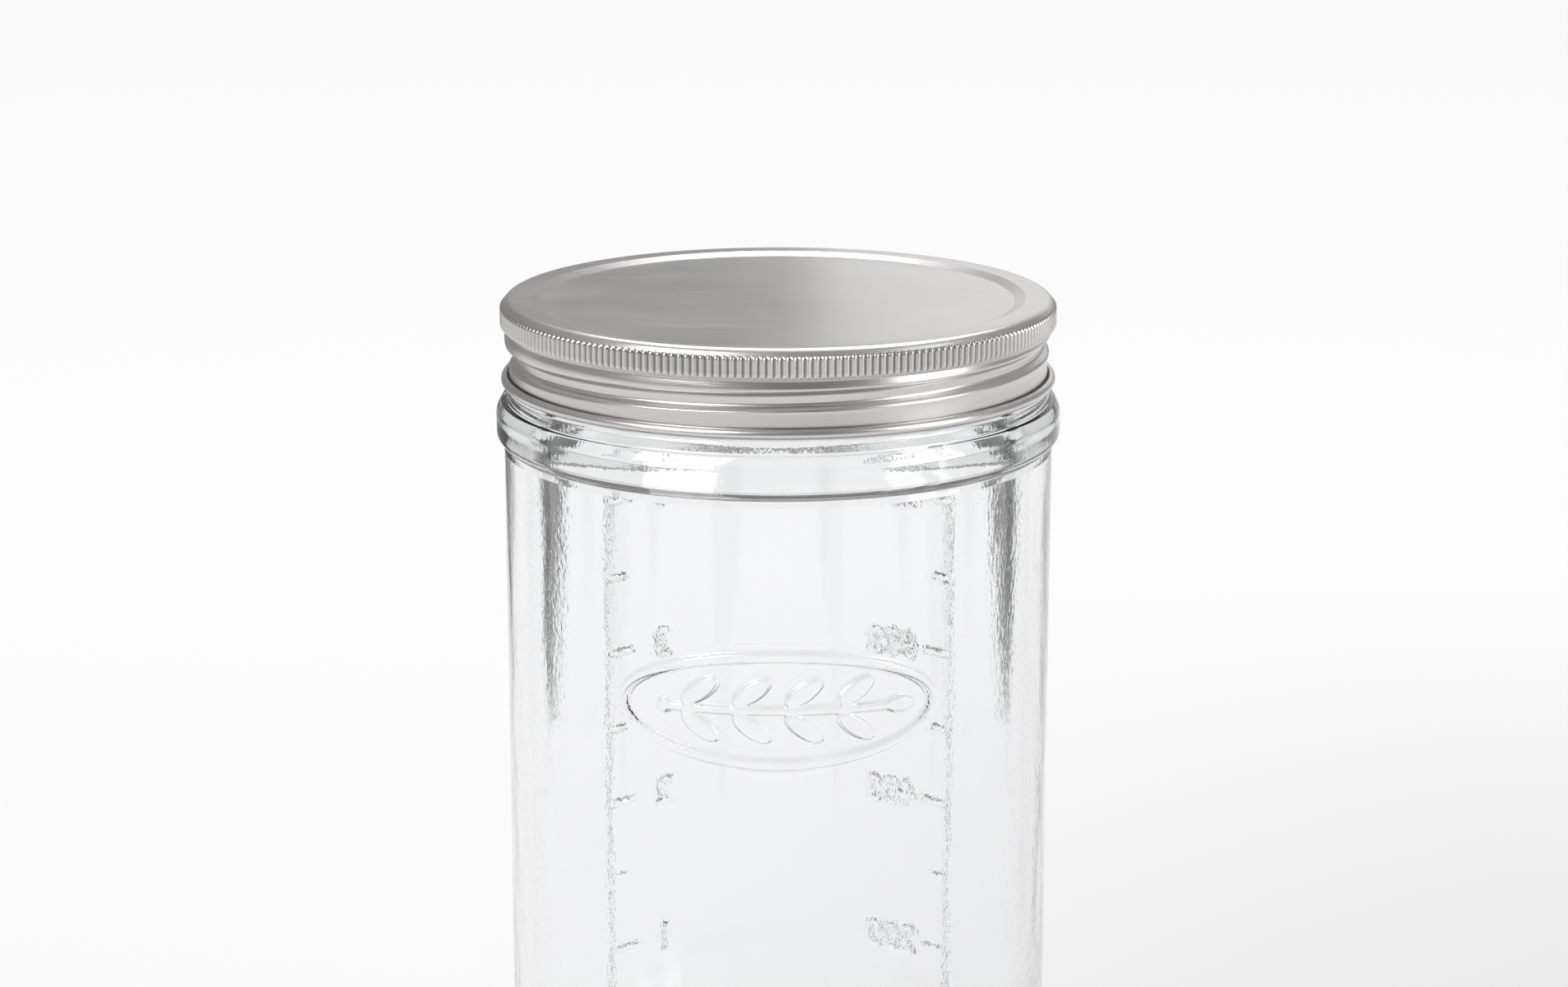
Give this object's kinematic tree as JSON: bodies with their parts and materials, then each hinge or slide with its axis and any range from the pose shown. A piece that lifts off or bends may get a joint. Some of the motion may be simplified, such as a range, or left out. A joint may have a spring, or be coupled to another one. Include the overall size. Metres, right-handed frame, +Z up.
{
  "type": "fermentation jar",
  "caption": "Tall wide-mouth glass preserving jar with a knurled steel screw lid and a silicone sealing ring, for fermenting and storing food.",
  "frame": {"origin": "centre of the jar's base, on the surface it stands on", "axes": "+Z up along the jar's axis; -Y towards the embossed front, the volume scales are on the +Y side; +X to the right seen from the front"},
  "size_m": [0.102, 0.102, 0.175],
  "materials": {
    "clear_glass": "clear pressed glass, faintly green at the edges",
    "satin_steel": "satin stainless steel, fine straight grain on the top",
    "silicone": "matt translucent white silicone"
  },
  "bodies": {
    "jar": {"glass_jar": "clear_glass"},
    "seal": {"lid_seal": "silicone"},
    "lid": {"lid_shell": "satin_steel"}
  },
  "joints": [
    {"name": "lid_rise", "type": "slide", "parent": "jar", "child": "seal", "axis": [0, 0, 1], "range_m": [0, 0.02]},
    {"name": "lid_turn", "type": "hinge", "parent": "seal", "child": "lid", "pos_m": [0, 0, 0.165], "axis": [0, 0, 1], "range_deg": [0, 1440]}
  ],
  "couplings": [
    {"joint": "lid_rise", "follows": "lid_turn", "m_per_rad": 0.00079577}
  ]
}
